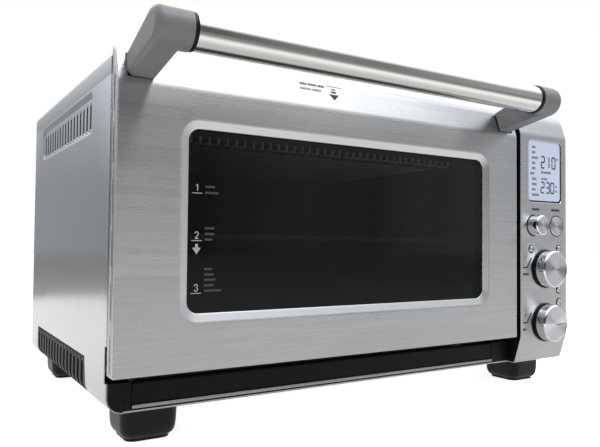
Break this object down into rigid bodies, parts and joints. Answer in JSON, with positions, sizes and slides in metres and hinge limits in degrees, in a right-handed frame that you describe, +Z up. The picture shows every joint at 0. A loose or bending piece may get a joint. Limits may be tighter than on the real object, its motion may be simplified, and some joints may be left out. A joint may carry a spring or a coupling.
{
  "type": "toaster oven",
  "caption": "Countertop toaster oven with a drop-down glazed door, bar handle, slide-out rack, crumb tray, display and turning knobs.",
  "frame": {"origin": "on the table, under the middle of the oven's box with its handle", "axes": "+X to the user's right along the width, +Y from the door to the back, +Z up"},
  "size_m": [0.47, 0.3678, 0.2841],
  "materials": {
    "brushed_front": "brushed along the width, satin",
    "casing_steel": "satin steel sheet",
    "black_plastic": "fine moulded grain",
    "rubber_black": "matt",
    "black_sheet": "black paint",
    "zinc_sheet": "zinc-plated sheet",
    "bright_steel": "plated wire and sheet",
    "inner_coating": "dark non-stick coating",
    "smoked_glass": "smoked, polished",
    "handle_steel": "brushed along the tube",
    "bracket_metal": "satin grey casting",
    "display_glass": "clear, polished",
    "display_panel": "backlit panel",
    "board_green": "solder mask",
    "part_black": "moulded",
    "quartz": "milky tube",
    "ceramic_white": "unglazed ceramic",
    "knob_chrome": "polished side, spun face"
  },
  "bodies": {
    "oven_body": {"casing_top": "casing_steel", "casing_side_left": "casing_steel", "casing_side_right": "casing_steel", "side_grille_left": "black_plastic", "side_grille_right": "black_plastic", "rear_panel": "zinc_sheet", "cord_gland": "black_plastic", "casing_screws": "bright_steel", "base_plate": "zinc_sheet", "front_frame": "black_sheet", "plinth_strip": "black_sheet", "corner_block_left": "black_plastic", "corner_block_right": "black_plastic", "hinge_bracket_left": "zinc_sheet", "hinge_bracket_right": "zinc_sheet", "control_fascia": "brushed_front", "display_lens": "display_glass", "display_module": "display_panel", "control_board": "board_green", "encoders": "part_black", "key_switches": "part_black", "knob_rings": "black_plastic", "cavity_wall_left": "inner_coating", "cavity_wall_right": "inner_coating", "cavity_roof": "inner_coating", "cavity_back": "inner_coating", "rack_runners": "inner_coating", "upper_tubes": "quartz", "lower_tubes": "quartz", "tube_end_caps": "ceramic_white", "element_guard": "bright_steel", "temperature_probe": "bright_steel", "fan_housing": "zinc_sheet", "fan_motor": "part_black", "tray_rails": "zinc_sheet", "foot_pads": "rubber_black", "feet_front": "black_plastic", "feet_rear": "black_plastic"},
    "door": {"hinge_leaves": "zinc_sheet", "hinge_pins": "bright_steel", "door_outer_panel": "brushed_front", "door_inner_panel": "inner_coating", "door_glass": "smoked_glass", "door_magnets": "part_black", "handle_bar": "handle_steel", "handle_bracket_left": "bracket_metal", "handle_bracket_right": "bracket_metal", "handle_gaskets": "rubber_black"},
    "rack": {"wire_rack": "bright_steel"},
    "tray": {"crumb_tray": "bright_steel", "crumb_tray_front": "black_plastic"},
    "upper_knob": {"knob_upper": "knob_chrome"},
    "lower_knob": {"knob_lower": "knob_chrome"},
    "raised_button": {"button_raised": "knob_chrome"},
    "flush_button": {"button_flush": "knob_chrome"},
    "tiny_button_1": {"button_tiny_1": "knob_chrome"},
    "tiny_button_2": {"button_tiny_2": "knob_chrome"},
    "tiny_button_3": {"button_tiny_3": "knob_chrome"},
    "tiny_button_4": {"button_tiny_4": "knob_chrome"},
    "fan": {"fan_impeller": "bright_steel"}
  },
  "joints": [
    {"name": "door_hinge", "type": "hinge", "parent": "oven_body", "child": "door", "pos_m": [0, -0.11845, 0.058], "axis": [1, 0, 0], "range_deg": [0, 85], "stiffness_Nm_per_rad": 0.35, "springref_deg": -68.75},
    {"name": "rack_slide", "type": "slide", "parent": "oven_body", "child": "rack", "axis": [0, -1, 0], "range_m": [0, 0.112]},
    {"name": "tray_slide", "type": "slide", "parent": "oven_body", "child": "tray", "axis": [0, -1, 0], "range_m": [0, 0.17]},
    {"name": "upper_knob_turn", "type": "hinge", "parent": "oven_body", "child": "upper_knob", "pos_m": [0.20075, -0.12745, 0.1164], "axis": [0, -1, 0], "continuous": true},
    {"name": "lower_knob_turn", "type": "hinge", "parent": "oven_body", "child": "lower_knob", "pos_m": [0.20075, -0.12745, 0.0624], "axis": [0, -1, 0], "continuous": true},
    {"name": "raised_button_press", "type": "slide", "parent": "oven_body", "child": "raised_button", "axis": [0, 1, 0], "range_m": [0, 0.003], "stiffness_N_per_m": 800},
    {"name": "flush_button_press", "type": "slide", "parent": "oven_body", "child": "flush_button", "axis": [0, 1, 0], "range_m": [0, 0.0012], "stiffness_N_per_m": 1500},
    {"name": "tiny_button_1_press", "type": "slide", "parent": "oven_body", "child": "tiny_button_1", "axis": [0, 1, 0], "range_m": [0, 0.001], "stiffness_N_per_m": 1500},
    {"name": "tiny_button_2_press", "type": "slide", "parent": "oven_body", "child": "tiny_button_2", "axis": [0, 1, 0], "range_m": [0, 0.001], "stiffness_N_per_m": 1500},
    {"name": "tiny_button_3_press", "type": "slide", "parent": "oven_body", "child": "tiny_button_3", "axis": [0, 1, 0], "range_m": [0, 0.001], "stiffness_N_per_m": 1500},
    {"name": "tiny_button_4_press", "type": "slide", "parent": "oven_body", "child": "tiny_button_4", "axis": [0, 1, 0], "range_m": [0, 0.001], "stiffness_N_per_m": 1500},
    {"name": "fan_spin", "type": "hinge", "parent": "oven_body", "child": "fan", "pos_m": [0.145, 0.02565, 0.15], "axis": [1, 0, 0], "continuous": true}
  ],
  "couplings": [
    {"joint": "rack_slide", "follows": "door_hinge", "m_per_rad": 0.074}
  ]
}
